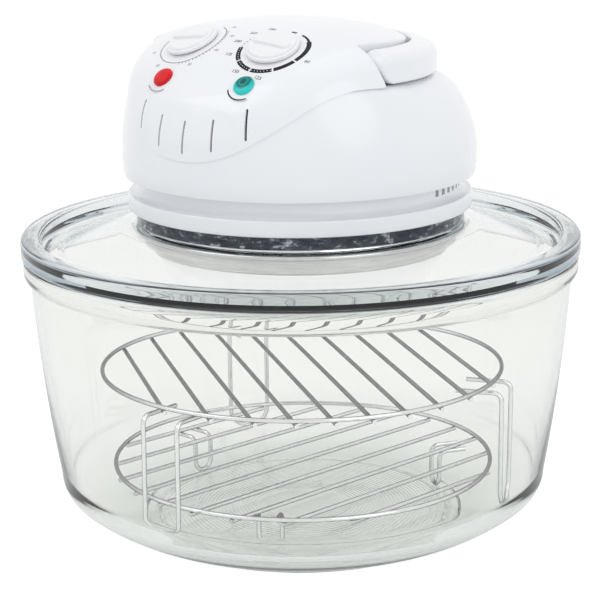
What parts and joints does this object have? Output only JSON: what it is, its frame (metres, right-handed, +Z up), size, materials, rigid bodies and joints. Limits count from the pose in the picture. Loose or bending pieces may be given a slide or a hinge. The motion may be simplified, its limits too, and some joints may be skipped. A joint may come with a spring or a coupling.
{
  "type": "halogen oven",
  "caption": "Countertop halogen oven: round glass bowl with wire racks under a domed glass lid that carries a white heating head with dials and fold-down handle.",
  "frame": {"origin": "centre of the bowl's foot ring, on the surface that the oven stands on", "axes": "+Z up, control panel towards -Y, thermostat dial towards +X"},
  "size_m": [0.3414, 0.3414, 0.3161],
  "materials": {
    "clear_glass": "smooth pressed glass, faint grey-green",
    "chrome_wire": "chromed steel wire",
    "white_plastic": "glossy white moulding",
    "dark_seal": "dark silicone",
    "steel_sheet": "brushed stainless steel",
    "bright_steel": "polished steel",
    "quartz": "quartz tube",
    "ceramic": "unglazed ceramic",
    "galvanised": "galvanised sheet",
    "lamination": "varnished laminations",
    "copper_coil": "lacquered winding",
    "black_plastic": "black moulding",
    "fan_plastic": "dark moulding",
    "red_lens": "translucent red lens",
    "green_lens": "translucent green lens",
    "zinc_screw": "zinc-plated screws"
  },
  "bodies": {
    "bowl": {"glass_bowl": "clear_glass"},
    "low_rack": {"low_rack_ring": "chrome_wire", "low_rack_wires": "chrome_wire", "low_rack_legs": "chrome_wire"},
    "high_rack": {"high_rack_ring": "chrome_wire", "high_rack_wires": "chrome_wire", "high_rack_legs": "chrome_wire"},
    "lid_head": {"glass_lid": "clear_glass", "lid_seal": "dark_seal", "clamp_ring": "bright_steel", "heater_drum": "steel_sheet", "reflector": "bright_steel", "halogen_lamp": "quartz", "lamp_end_caps": "ceramic", "lamp_clips": "bright_steel", "fan_guard": "bright_steel", "motor_core": "lamination", "motor_coil": "copper_coil", "motor_brackets": "galvanised", "motor_posts": "zinc_screw", "motor_screws": "zinc_screw", "heat_shield": "galvanised", "thermal_cutout": "black_plastic", "terminal_block": "black_plastic", "base_ring": "white_plastic", "head_shell": "white_plastic", "control_cover": "white_plastic", "handle_pins": "bright_steel", "safety_switch": "black_plastic", "cord_inlet": "black_plastic", "timer_mechanism": "fan_plastic", "thermostat": "fan_plastic", "power_lens": "red_lens", "heat_lens": "green_lens", "indicator_lamps": "quartz", "cover_screws": "zinc_screw", "drum_screws": "zinc_screw"},
    "handle": {"handle": "white_plastic"},
    "switch_plunger": {"switch_plunger": "black_plastic"},
    "timer_knob": {"timer_knob": "white_plastic", "timer_shaft": "bright_steel"},
    "thermostat_knob": {"thermostat_knob": "white_plastic", "thermostat_shaft": "bright_steel"},
    "fan_rotor": {"convection_fan": "galvanised", "motor_shaft": "bright_steel", "motor_rotor": "steel_sheet", "cooling_fan": "fan_plastic"}
  },
  "joints": [
    {"name": "lid_lift", "type": "slide", "parent": "bowl", "child": "lid_head", "axis": [0, 0, 1], "range_m": [0, 0.36]},
    {"name": "high_rack_lift", "type": "slide", "parent": "bowl", "child": "high_rack", "axis": [0, 0, 1], "range_m": [0, 0.29]},
    {"name": "low_rack_lift", "type": "slide", "parent": "bowl", "child": "low_rack", "axis": [0, 0, 1], "range_m": [0, 0.18]},
    {"name": "handle_fold", "type": "hinge", "parent": "lid_head", "child": "handle", "pos_m": [0, -0.025, 0.2948], "axis": [1, 0, 0], "range_deg": [0, 90]},
    {"name": "switch_press", "type": "slide", "parent": "lid_head", "child": "switch_plunger", "axis": [0, 0, 1], "range_m": [0, 0.003]},
    {"name": "timer_turn", "type": "hinge", "parent": "lid_head", "child": "timer_knob", "pos_m": [-0.03, -0.062, 0.30531], "axis": [-0.0939, -0.4206, 0.9024], "range_deg": [-300, 0]},
    {"name": "thermostat_turn", "type": "hinge", "parent": "lid_head", "child": "thermostat_knob", "pos_m": [0.03, -0.062, 0.30531], "axis": [0.0939, -0.4206, 0.9024], "range_deg": [-280, 0]},
    {"name": "fan_spin", "type": "hinge", "parent": "lid_head", "child": "fan_rotor", "pos_m": [0, 0, 0.2], "axis": [0, 0, 1], "continuous": true}
  ],
  "couplings": [
    {"joint": "high_rack_lift", "follows": "lid_lift", "ratio": 0.8},
    {"joint": "low_rack_lift", "follows": "lid_lift", "ratio": 0.5},
    {"joint": "switch_press", "follows": "handle_fold", "m_per_rad": 0.0018}
  ]
}
